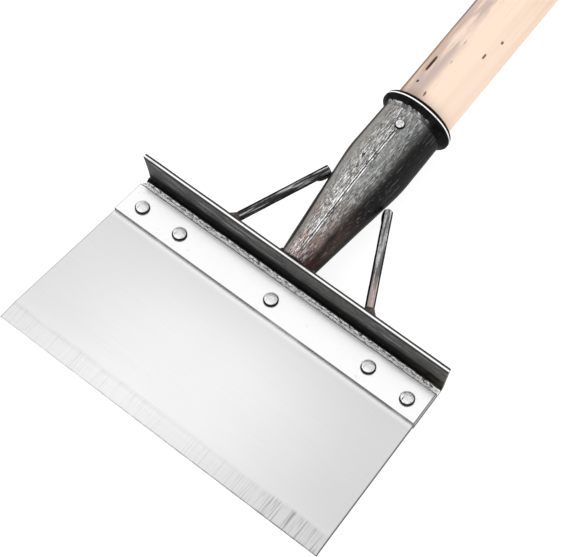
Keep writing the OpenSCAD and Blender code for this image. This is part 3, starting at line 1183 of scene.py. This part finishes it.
@dataclass
class ClampStrip:
    """Flat strip that the rivets press on the blade."""

    sizes: Sizes = SIZES
    columns: int = 160
    sunk: float = 0.10

    def build(self) -> bpy.types.Object:
        """Draws the strip, pressed down a little round each rivet.

        Returns:
            The piece.
        """
        s = self.sizes
        tops = stations(s.strip_front, s.strip_rear, 2.5)
        rows = []
        for i in range(self.columns + 1):
            across = 2 * i / self.columns - 1
            row = []
            for y, z in [(y, s.strip_thickness) for y in tops] + [(y, 0.0) for y in reversed(tops)]:
                x = across * s.half_width(y)
                sink = 0.0
                if z > 0:
                    for rivet, front in RIVET_PLACES:
                        away = math.hypot(x - rivet, y - s.strip_front - front)
                        sink += self.sunk * (1 - smooth(3.5, 8.0, away))
                row.append((x, y + 0.06 * waver(across * 14, z, 0.1, 3.0), z - sink))
            rows.append(row)
        draft = Draft()
        draft.tube(rows)
        made = draft.piece("clamp_strip", HEAD, Slot.BRIGHT, "clamp_strip")
        soften(made, 0.3, 40)
        return made


@dataclass
class Bracket:
    """Folded sheet whose standing leg carries the socket."""

    sizes: Sizes = SIZES
    columns: int = 200
    flare_left: float = 4.0
    flare_right: float = 1.4
    bend_left: float = 1.6
    bend_right: float = 1.05
    inset: float = 1.4

    def centre_line(self) -> list[tuple[float, float, float]]:
        """Middle of the folded sheet, as y, z and the sheet's turn in degrees.

        Returns:
            Places along the sheet, from the front of the flat leg to the top.
        """
        s = self.sizes
        centre_y = s.heel - s.fold_radius - s.bracket_thickness
        centre_z = s.underside + s.fold_radius + s.bracket_thickness
        mid = s.fold_radius + s.bracket_thickness / 2
        flat = [(y, s.underside + s.bracket_thickness / 2, 0.0)
                for y in stations(s.strip_front, centre_y, 4.0)]
        bend = [(centre_y + mid * math.sin(math.radians(a)), centre_z - mid * math.cos(math.radians(a)), a)
                for a in (15, 30, 45, 60, 75)]
        leg = [(s.heel - s.bracket_thickness / 2, z, 90.0)
               for z in stations(centre_z, s.leg_height, 1.6)]
        return flat + bend + leg

    def flare(self, side: Side, z: float) -> float:
        """How far an end of the standing leg reaches past the blade's side at a height.

        Args:
            side: End of the leg.
            z: Height above the blade, in millimetres.

        Returns:
            The reach in millimetres.
        """
        share = z / self.sizes.leg_height
        if side is Side.RIGHT:
            return self.flare_right * share ** self.bend_right
        return self.flare_left * share ** self.bend_left - self.inset * smooth(-1, 2, z)

    def build(self) -> bpy.types.Object:
        """Draws the bracket with its flared leg ends and slightly wavy top.

        Returns:
            The piece.
        """
        s = self.sizes
        path = self.centre_line()
        half = s.bracket_thickness / 2
        rows = []
        for i in range(self.columns + 1):
            across = 2 * i / self.columns - 1
            wave = 0.12 * waver(across * 5, 0.0, 0.5, 4.0)
            row = []
            for sign in (1, -1):
                for y, z, turn in path if sign > 0 else reversed(path):
                    a = math.radians(turn)
                    py, pz = y - sign * half * math.sin(a), z + sign * half * math.cos(a)
                    width = s.half_width(min(py, s.heel))
                    if pz > 0:
                        width += self.flare(Side.LEFT if across < 0 else Side.RIGHT, pz)
                    rise = smooth(4, s.leg_height, pz)
                    row.append((across * width, py + wave * rise, pz + wave * 0.5 * rise))
            rows.append(row)
        draft = Draft()
        draft.tube(rows, folded=True)
        made = draft.piece("bracket", HEAD, Slot.BLACK, "bracket")
        soften(made, 0.35, 40)
        return made


@dataclass
class Rivet:
    """One rivet: button head, shank and flatter tail."""

    number: int
    sizes: Sizes = SIZES
    radius: float = 3.95
    height: float = 1.9
    wall: float = 0.7

    def outline(self) -> list[tuple[float, float]]:
        """Radius and height from the tail's middle to the head's middle.

        Returns:
            Pairs of radius and height, in order.
        """
        s = self.sizes
        low, high = s.underside, s.strip_thickness
        dome = [(self.radius * math.sin(math.radians(a)) ** 0.9,
                 high - 0.1 + self.wall + (self.height - self.wall) * math.cos(math.radians(a)))
                for a in range(90, 4, -8)]
        tail = [((self.radius - 0.3) * math.sin(math.radians(a)) ** 0.9,
                 low - 0.5 - 0.9 * math.cos(math.radians(a))) for a in range(5, 91, 9)]
        return [*tail, (self.radius - 0.35, low + 0.05), (2.0, low + 0.05), (2.0, high - 0.15),
                (self.radius - 0.1, high - 0.15), *dome]

    def build(self) -> bpy.types.Object:
        """Draws the rivet with an uneven, slightly dented head.

        Returns:
            The piece.
        """
        s = self.sizes
        x, behind = RIVET_PLACES[self.number - 1]
        y = s.strip_front + behind
        seed = float(self.number)

        def dents(radius: float, station: float, angle: float) -> float:
            """Unevenness of the head.

            Args:
                radius: Radius of the outline there.
                station: Station along the axis, in millimetres.
                angle: Angle from the top, in radians.

            Returns:
                Change of radius in millimetres.
            """
            if station < 0:
                return 0.0
            return 0.10 * waver(1.6 * math.sin(angle), 1.6 * math.cos(angle), station, seed) * min(1, radius)

        draft = Draft()
        draft.lathe(self.outline(), 40, dents)
        for i, (px, py, pz) in enumerate(draft.points):
            dent = 0.14 * waver(px * 0.55, pz * 0.55, 0.0, seed + 9) if py > s.strip_thickness + 1.2 else 0.0
            draft.points[i] = (px, -pz, py + dent)
        place = HEAD.matrix @ Matrix.Translation(Vector((x, y, 0)) * MM)
        return draft.piece(f"rivet_{self.number}", place, Slot.RIVET, f"rivet_{self.number}")


@dataclass
class Head:
    """Blade, clamp strip, bracket and rivets."""

    pitted_rivet: int = 5
    pitted: float = 0.55
    plain: float = 0.25

    def build(self) -> list[bpy.types.Object]:
        """Builds and finishes the head's pieces.

        Returns:
            The pieces, in order.
        """
        blade = Blade().build()
        dress(blade, BladeFinish().material())
        strip = ClampStrip().build()
        dress(strip, BrightFinish().material())
        bracket = Bracket().build()
        dress(bracket, BracketFinish().material())
        rivets = []
        for number in range(1, len(RIVET_PLACES) + 1):
            rivet = Rivet(number).build()
            speckle = self.pitted if number == self.pitted_rivet else self.plain
            dress(rivet, RivetFinish(f"rivet_steel_{number}", speckle=speckle).material())
            rivets.append(rivet)
        return [blade, strip, bracket, *rivets]


# ---------------------------------------------------------------- socket and braces


@dataclass
class Socket:
    """Rolled cone that holds the handle, open at both ends."""

    sizes: Sizes = SIZES
    sides: int = 144

    def dents(self, radius: float, station: float, angle: float) -> float:
        """Hammer marks and flats of a hand-rolled sheet.

        Args:
            radius: Radius of the outline there; not used.
            station: Station along the axis, in millimetres.
            angle: Angle from the top, in radians.

        Returns:
            Change of radius in millimetres.
        """
        calm = smooth(0, 8, station) * (1 - smooth(90, 96, station))
        wide = 0.16 * waver(1.5 * math.sin(angle), station / 26, 1.5 * math.cos(angle), 1.0)
        small = 0.05 * waver(5 * math.sin(angle), station / 7, 5 * math.cos(angle), 6.0)
        return (wide + small) * calm

    def build(self) -> bpy.types.Object:
        """Draws the socket, cut off along the back face of the standing leg.

        Returns:
            The piece.
        """
        s = self.sizes
        outer = [(s.socket_radius(k), k) for k in stations(-3.0, s.shoulder_start, 1.6)]
        outer += [(s.socket_radius(k), k) for k in stations(s.shoulder_start + 1, s.shoulder_end, 1.2)]
        outer += [(s.socket_radius(k), k) for k in stations(s.shoulder_end + 1.5, s.socket_length, 2.0)]
        inner = [(r - s.wall, k) for r, k in reversed(outer)][::3]
        if inner[-1][1] > -3.0:
            inner.append((outer[0][0] - s.wall, -3.0))
        draft = Draft()
        draft.lathe([*outer, *inner], self.sides, self.dents, closed=True)
        slope = math.tan(math.radians(s.handle_rise))
        draft.points = [(x, max(y, z * slope), z) for x, y, z in draft.points]
        return draft.piece("socket", SOCKET, Slot.SOCKET, "socket")


@dataclass
class MouthRing:
    """Rolled ring round the socket's mouth."""

    sizes: Sizes = SIZES

    def build(self) -> bpy.types.Object:
        """Draws the ring with a turned-in lip on its handle side.

        Returns:
            The piece.
        """
        s = self.sizes
        start, end = s.ring_start, s.ring_start + s.ring_length
        r, rounding = s.ring_radius, s.ring_rounding
        flare = [(s.mouth_radius + 0.15 + (r - s.mouth_radius - 0.15) * smooth(0, 1, t) ** 1.4,
                  start + 0.05 + 4.4 * t) for t in (0.15, 0.3, 0.45, 0.6, 0.7, 0.8, 0.9, 1.0)]
        back = [(r - rounding + rounding * math.sin(math.radians(a)),
                 end - rounding + rounding * math.cos(math.radians(a))) for a in range(90, 19, -10)]
        lip = [(r - 1.75, end - 0.30), (r - 1.95, end - 0.75), (r - 2.25, end - 0.80),
               (r - 2.45, end - 0.30), (r - 2.75, end - 0.02), (r - 3.2, end - 0.10)]
        outline = [(s.ring_bore, end - 0.6), (s.ring_bore, s.socket_length + 0.1),
                   (s.mouth_radius - 0.3, s.socket_length + 0.1), (s.mouth_radius - 0.3, start + 0.8),
                   (s.mouth_radius + 0.15, start + 0.05), *flare, *back, *lip]

        def sag(radius: float, station: float, angle: float) -> float:
            """Slight unevenness of the rolling.

            Args:
                radius: Radius of the outline there.
                station: Station along the axis, in millimetres.
                angle: Angle from the top, in radians.

            Returns:
                Change of radius in millimetres.
            """
            if radius < s.mouth_radius + 0.5:
                return 0.0
            return 0.09 * waver(2.2 * math.sin(angle), station / 9, 2.2 * math.cos(angle), 8.0) - 0.06

        draft = Draft()
        draft.lathe(outline, 160, sag, closed=True)
        return draft.piece("mouth_ring", SOCKET, Slot.BLACK, "mouth_ring")


@dataclass
class SeamWeld:
    """Narrow ground bead over the seam on top of the socket."""

    sizes: Sizes = SIZES
    points: int = 12
    crown: float = 0.34
    low_crown: float = 0.24
    step: float = 52.0

    def build(self) -> bpy.types.Object:
        """Draws the bead with wavy sides and fine lengthwise ridges.

        Returns:
            The piece.
        """
        s = self.sizes
        rows = []
        for k in stations(s.seam_start, s.seam_end, 0.8):
            wander = 0.12 * waver(k / 9, 0.2, 0.1, 11.0)
            half = s.seam_width / 2 - 0.18 + 0.14 * waver(k / 5, 0.6, 0.9, 12.0)
            if k < 8:
                half *= 0.55 + 0.45 * smooth(s.seam_start, 8, k)
            base = s.socket_radius(k)
            loop = []
            for j in range(self.points + 1):
                t = 2 * j / self.points - 1
                x = wander + half * t
                crown = (self.crown if k < self.step else self.low_crown) * (1 - abs(t) ** 5)
                ridge = 0.07 * math.sin(j * 2.1 + 0.6 * waver(k / 12, j, 0.5, 13.0)) * (1 - t * t)
                loop.append((x, k, math.sqrt(base * base - x * x) + crown + ridge - 0.03))
            for t in (1, 0, -1):
                x = wander + half * t
                loop.append((x, k, math.sqrt(base * base - x * x) - 0.6))
            rows.append(loop)
        draft = Draft()
        draft.tube(rows)
        return draft.piece("seam_weld", SOCKET, Slot.WELD, "seam_weld")


def brace_ends(side: Side) -> tuple[Vector, Vector]:
    """Lower and upper end of a brace's axis in the socket frame, in millimetres.

    Args:
        side: Side of the brace.

    Returns:
        The two ends.
    """
    s = SIZES
    across = s.left_foot if side is Side.LEFT else s.right_foot
    rise = math.radians(s.handle_rise)
    y, z = s.brace_foot_depth, s.brace_foot_height - s.axis_height
    foot = Vector((side.value * across, y * math.cos(rise) + z * math.sin(rise),
                   z * math.cos(rise) - y * math.sin(rise)))
    top = Vector((side.value * (s.socket_radius(s.brace_reach) + s.brace_radius + 0.1), s.brace_reach, 0.0))
    return foot, top


def aimed(start: Vector, end: Vector) -> Matrix:
    """Matrix whose Y axis runs from start to end, in the row frame.

    Args:
        start: Start in the socket frame, in millimetres.
        end: End in the socket frame, in millimetres.

    Returns:
        The matrix.
    """
    turn = (end - start).to_track_quat("Y", "Z").to_matrix().to_4x4()
    return SOCKET.matrix @ Matrix.Translation(start * MM) @ turn


def leg_back(made: bpy.types.Object) -> tuple[Vector, Vector]:
    """A point on the standing leg's back face and its outward direction, in a piece's own space."""
    local = made.matrix_world.inverted() @ HEAD.matrix
    return local @ Vector((0, SIZES.heel * MM, 0)), local.to_3x3() @ Vector((0, 1, 0))


@dataclass
class Brace:
    """Round bar between the standing leg and the socket."""

    side: Side
    sizes: Sizes = SIZES

    def build(self) -> bpy.types.Object:
        """Draws the bar: square cut on the left, rounded on the right.

        Returns:
            The piece.
        """
        s = self.sizes
        foot, top = brace_ends(self.side)
        reach = (top - foot).length
        r = s.brace_radius
        body = [(r, k) for k in stations(0.0, reach - 3.0, 2.0)]
        if self.side is Side.LEFT:
            tip = [(r, reach - 0.6), (r - 0.12, reach - 0.2), (r - 0.5, reach - 0.02)]
        else:
            tip = [(r * math.cos(math.radians(a)), reach - r * 0.75 + r * 0.75 * math.sin(math.radians(a)))
                   for a in range(0, 80, 12)]
        seed = 20.0 + self.side.value

        def worn(radius: float, station: float, angle: float) -> float:
            """Slight unevenness of the bar."""
            dent = waver(1.4 * math.sin(angle), station / 6, 1.4 * math.cos(angle), seed)
            return 0.07 * dent * min(1, radius)

        draft = Draft()
        draft.lathe([*body, *tip], 36, worn)
        name = f"brace_{self.side.name.lower()}"
        made = draft.piece(name, aimed(foot, top), Slot.SOCKET, name)
        self.trim(made)
        return made

    def trim(self, made: bpy.types.Object) -> None:
        """Cuts the foot off along the back face of the standing leg.

        Args:
            made: The bar.
        """
        origin, normal = leg_back(made)
        for vertex in made.data.vertices:
            if vertex.co.y < 0.02:
                gap = (vertex.co - origin).dot(normal)
                if gap < 0 or vertex.co.y < 0.0005:
                    vertex.co.y -= gap / normal.y
        made.data.update()


@dataclass
class UpperWeld:
    """Bead in the groove under a brace's upper end."""

    side: Side
    sizes: Sizes = SIZES

    def build(self) -> bpy.types.Object:
        """Draws the bead with ripples.

        Returns:
            The piece.
        """
        s = self.sizes
        foot, top = brace_ends(self.side)
        reach = (top - foot).length
        shift = Vector((-self.side.value * s.brace_radius * 0.7, 0, -s.brace_radius * 0.8))
        outline = [(1.55 * math.sin(math.pi * t) ** 0.45 * (1 + 0.07 * math.sin(t * 44)), reach - 9 + 9 * t)
                   for t in [i / 40 for i in range(1, 40)]]
        draft = Draft()
        draft.lathe(outline, 24)
        name = f"upper_weld_{self.side.name.lower()}"
        return draft.piece(name, aimed(foot + shift, top + shift), Slot.WELD, name)


@dataclass
class LowerWeld:
    """Sloping bead round a brace's foot."""

    side: Side

    def build(self) -> bpy.types.Object:
        """Draws the bead, flattened against the standing leg.

        Returns:
            The piece.
        """
        foot, top = brace_ends(self.side)
        outline = [(1.5, -3.5), (4.2, -3.5), (4.25, -2.0), (3.7, -0.6), (3.1, 0.8), (2.7, 1.9), (2.2, 2.2)]
        seed = 30.0 + self.side.value

        def lumps(radius: float, station: float, angle: float) -> float:
            """Lumps of weld metal."""
            return 0.30 * waver(2.4 * math.sin(angle), station / 2, 2.4 * math.cos(angle), seed) - 0.18

        draft = Draft()
        draft.lathe(outline, 48, lumps)
        name = f"lower_weld_{self.side.name.lower()}"
        made = draft.piece(name, aimed(foot, top), Slot.WELD, name)
        origin, normal = leg_back(made)
        for vertex in made.data.vertices:
            gap = (vertex.co - origin).dot(normal)
            if gap < 0:
                vertex.co -= normal * gap
        made.data.update()
        return made


@dataclass
class FootWeld:
    """Bead round the socket's foot, below the top of the standing leg."""

    sizes: Sizes = SIZES
    top: float = 4.3
    steps: int = 144
    section: tuple[tuple[float, float], ...] = (
        (-0.5, -0.2), (1.9, -0.2), (1.7, 0.7), (1.35, 1.5), (0.8, 2.4), (-0.5, 2.9))

    def build(self) -> bpy.types.Object:
        """Draws the bead as a run of small overlapping ripples.

        Returns:
            The piece.
        """
        s = self.sizes
        slope = math.tan(math.radians(s.handle_rise))
        low = math.acos(self.top / (s.foot_radius + 2.2))
        rows = []
        for i in range(self.steps + 1):
            angle = low + (2 * math.pi - 2 * low) * i / self.steps
            ripple = 1 + 0.08 * math.sin(i * 1.05) + 0.10 * waver(i / 5, 0.1, 0.4, 14.0)
            loop = []
            for radius, station in self.section:
                r = s.foot_radius + (radius * ripple if radius > 0 else radius) * 0.95
                x, z = r * math.sin(angle), r * math.cos(angle)
                loop.append((x, max(station, 0.0) + z * slope, z))
            rows.append(loop)
        draft = Draft()
        draft.tube(rows)
        return draft.piece("foot_weld", SOCKET, Slot.WELD, "foot_weld")


@dataclass
class SocketAssembly:
    """Socket, ring, welds and braces."""

    def build(self) -> list[bpy.types.Object]:
        """Builds and finishes the pieces behind the head.

        Returns:
            The pieces, in order.
        """
        weld = WeldFinish().material()
        socket = Socket().build()
        dress(socket, SocketFinish().material())
        ring = MouthRing().build()
        dress(ring, RingFinish().material())
        seam = SeamWeld().build()
        dress(seam, SeamFinish().material())
        foot = FootWeld().build()
        dress(foot, weld)
        made = [socket, ring, seam, foot]
        bars = {
            Side.LEFT: BarFinish("left_bar_steel"),
            Side.RIGHT: BarFinish("right_bar_steel", face=0.10, light=0.55, cover=0.50, strip_centre=0.3,
                                  speckle=0.6, warm_foot=True),
        }
        for side, finish in bars.items():
            brace = Brace(side).build()
            dress(brace, finish.material())
            upper, lower = UpperWeld(side).build(), LowerWeld(side).build()
            dress(upper, weld)
            dress(lower, weld)
            made += [brace, upper, lower]
        return made


# ---------------------------------------------------------------- handle


@dataclass
class Handle:
    """Long round wooden handle with a tenon in the socket."""

    sizes: Sizes = SIZES
    sides: int = 96
    cracks: tuple[Crack, ...] = (
        Crack(126.2, -34.0, 13.5, 2.0, 1.1, darkening=1.0),
        Crack(113.6, -32.0, 2.2, 1.8, 0.6, darkening=1.0),
        Crack(158.0, 46.0, 2.6, 1.6, 0.6),
        Crack(145.2, 36.0, 4.6, 1.3, 0.5),
        Crack(144.4, -6.0, 4.0, 1.0, 0.3, darkening=0.4),
        Crack(131.2, -2.0, 3.0, 1.0, 0.3, darkening=0.35),
        Crack(330.0, 40.0, 9.0, 1.3, 0.7),
        Crack(560.0, -60.0, 12.0, 1.4, 0.7, slant=2.0),
        Crack(820.0, 100.0, 8.0, 1.3, 0.6),
    )

    def surface(self, radius: float, station: float, angle: float) -> float:
        """Change of radius from hand shaping, cracks and dents.

        Args:
            radius: Radius of the outline there.
            station: Station along the axis, in millimetres.
            angle: Angle from the top, in radians.

        Returns:
            Change of radius in millimetres.
        """
        s = self.sizes
        if station < s.socket_length + 2 or radius < s.handle_radius - 3:
            return 0.0
        wave = 0.10 * waver(math.sin(angle), station / 60, math.cos(angle), 15.0) - 0.08
        flat = 0.05 * waver(3 * math.sin(angle), station / 25, 3 * math.cos(angle), 16.0)
        arc = math.degrees(angle)
        arc = arc - 360 if arc > 180 else arc
        return wave + flat - sum(c.sink(station, arc, radius) for c in self.cracks)

    def build(self) -> bpy.types.Object:
        """Draws the handle, finest where its marks are.

        Returns:
            The piece.
        """
        s = self.sizes
        inset = s.wall + s.tenon_gap
        end = s.handle_end - s.butt_rounding
        tenon = [(s.socket_radius(k) - inset, k) for k in stations(s.tenon_start + 2, s.socket_length, 4.0)]
        wall = [(s.handle_radius, k) for k in stations(s.socket_length + 1.5, 180, 0.45)]
        wall += [(s.handle_radius, k) for k in stations(184, end, 4.0)]
        butt = [(s.handle_radius - s.butt_rounding + s.butt_rounding * math.cos(math.radians(a)),
                 end + s.butt_rounding * math.sin(math.radians(a))) for a in range(9, 91, 9)]
        tip = (s.socket_radius(s.tenon_start) - inset - 2, s.tenon_start)
        draft = Draft()
        draft.lathe([tip, *tenon, *wall, *butt, (3.0, s.handle_end)], self.sides, self.surface)
        return draft.piece("handle", SOCKET, Slot.WOOD, "handle")


@dataclass
class HandleScrew:
    """Cross-head screw that holds the handle in the socket."""

    sizes: Sizes = SIZES
    turn: float = 25.0
    cross_depth: float = 0.75

    @staticmethod
    def arm(across: float, along: float) -> float:
        """1 within one arm of the pressed cross, 0 outside it."""
        return (1 - smooth(0.22, 0.42, across)) * (1 - smooth(1.5, 1.9, along))

    def build(self) -> bpy.types.Object:
        """Draws the screw with a cross pressed into its head and a threaded shank.

        Returns:
            The piece.
        """
        s = self.sizes
        seat = s.socket_radius(s.screw_place) - 0.15
        draft = Draft()
        r, h, wall = s.screw_head_radius, s.screw_head_height, 0.55
        radii = [r * i / 14 for i in range(14, 0, -1)]
        head = [(q, wall + (h - wall) * math.sqrt(max(0.0, 1 - (q / r) ** 2 * 0.96))) for q in radii]
        shank = [(0.4, -20.0), (1.2, -18.0)]
        shank += [(1.62 if i % 2 else 1.28, -17 + i * 0.55) for i in range(26)]
        outline = [*shank, (1.7, -2.5), (1.7, 0.0), (r - 0.15, 0.0), (r, 0.25), (r, wall), *head[1:]]
        draft.lathe(outline, 72)
        points = []
        turn = math.radians(self.turn)
        for px, py, pz in draft.points:
            u = px * math.cos(turn) + pz * math.sin(turn)
            v = -px * math.sin(turn) + pz * math.cos(turn)
            cut = 0.0
            if py > wall:
                cut = self.cross_depth * max(self.arm(abs(u), abs(v)), self.arm(abs(v), abs(u)))
            points.append((px, -pz, py - cut))
        draft.points = points
        place = SOCKET.matrix @ Matrix.Translation(Vector((0, s.screw_place, seat)) * MM)
        return draft.piece("handle_screw", place, Slot.RIVET, "handle_screw")


@dataclass
class HandleAssembly:
    """Wooden handle and its screw."""

    def build(self) -> list[bpy.types.Object]:
        """Builds and finishes the handle and the screw.

        Returns:
            The pieces, in order.
        """
        design = Handle()
        handle = design.build()
        dress(handle, WoodFinish(cracks=design.cracks).material())
        screw = HandleScrew().build()
        # the screw's finish paints shade evenly round the rim of its head
        finish = RivetFinish("screw_steel", face=0.75, speckle=0.5, rim=0.0021, shade_side=(0.0, 0.0))
        dress(screw, finish.material())
        return [handle, screw]


# ---------------------------------------------------------------- studio


@dataclass(frozen=True)
class SoftBox:
    """Rectangular studio light aimed at a point."""

    name: str
    azimuth: float
    elevation: float
    distance: float
    size: tuple[float, float]
    power: float

    def build(self, target: Vector) -> None:
        """Adds the light.

        Args:
            target: Point that the light is aimed at.
        """
        light = bpy.data.lights.new(self.name, "AREA")
        light.shape = "RECTANGLE"
        light.size, light.size_y = self.size
        light.energy = self.power
        made = bpy.data.objects.new(self.name, light)
        back = direction(self.azimuth, self.elevation)
        made.location = target + back * self.distance
        made.rotation_mode = "QUATERNION"
        made.rotation_quaternion = (-back).to_track_quat("-Z", "Y")
        bpy.context.scene.collection.objects.link(made)


@dataclass
class Studio:
    """White floor, soft light and the camera."""

    target: Point = (-0.00027, -0.49791, 0.0200)
    azimuth: float = 47.18
    elevation: float = 67.90
    distance: float = 0.94752
    roll: float = -9.5286
    lens: float = 120.2
    sensor: float = 36.0
    floor_size: float = 6.0
    surround: float = 1.0
    lights: tuple[SoftBox, ...] = (
        SoftBox("key", 310.0, 55.0, 1.6, (1.4, 1.4), 7.0),
        SoftBox("fill", 120.0, 35.0, 1.8, (0.8, 1.6), 1.5),
    )

    def build(self) -> None:
        """Builds the studio."""
        self.build_floor()
        self.build_world()
        for light in self.lights:
            light.build(Vector(self.target))
        self.build_camera()
        bpy.context.scene.view_settings.view_transform = "Standard"

    def build_floor(self) -> None:
        """Adds the floor under the tool."""
        half = self.floor_size / 2
        mesh = bpy.data.meshes.new("studio_floor")
        mesh.from_pydata([(-half, -half, 0), (half, -half, 0), (half, half, 0), (-half, half, 0)], [],
                         [(0, 1, 2, 3)])
        floor = bpy.data.objects.new("studio_floor", mesh)
        bpy.context.scene.collection.objects.link(floor)
        dress(floor, FloorFinish().material())

    def build_world(self) -> None:
        """Surrounds the tool with even white light."""
        world = bpy.data.worlds.new("studio")
        world.use_nodes = True
        back = world.node_tree.nodes["Background"]
        back.inputs["Color"].default_value = (1, 1, 1, 1)
        back.inputs["Strength"].default_value = self.surround
        bpy.context.scene.world = world

    def build_camera(self) -> None:
        """Adds the camera and makes it the scene's."""
        data = bpy.data.cameras.new("camera")
        data.lens = self.lens
        data.sensor_width = self.sensor
        data.clip_start, data.clip_end = 0.05, 20.0
        camera = bpy.data.objects.new("camera", data)
        bpy.context.scene.collection.objects.link(camera)
        back = direction(self.azimuth, self.elevation)
        camera.location = Vector(self.target) + back * self.distance
        camera.rotation_mode = "QUATERNION"
        turn = Quaternion((0, 0, 1), math.radians(self.roll))
        camera.rotation_quaternion = (-back).to_track_quat("-Z", "Y") @ turn
        bpy.context.scene.camera = camera


def main() -> None:
    """Builds every piece, the studio and the camera."""
    logging.basicConfig(level=logging.INFO, format="%(name)s: %(message)s")
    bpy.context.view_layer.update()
    for assembly in (Head(), SocketAssembly(), HandleAssembly()):
        for made in assembly.build():
            LOG.info("piece %s with %d faces", made.name, len(made.data.polygons))
    Studio().build()


if __name__ == "__main__":
    main()
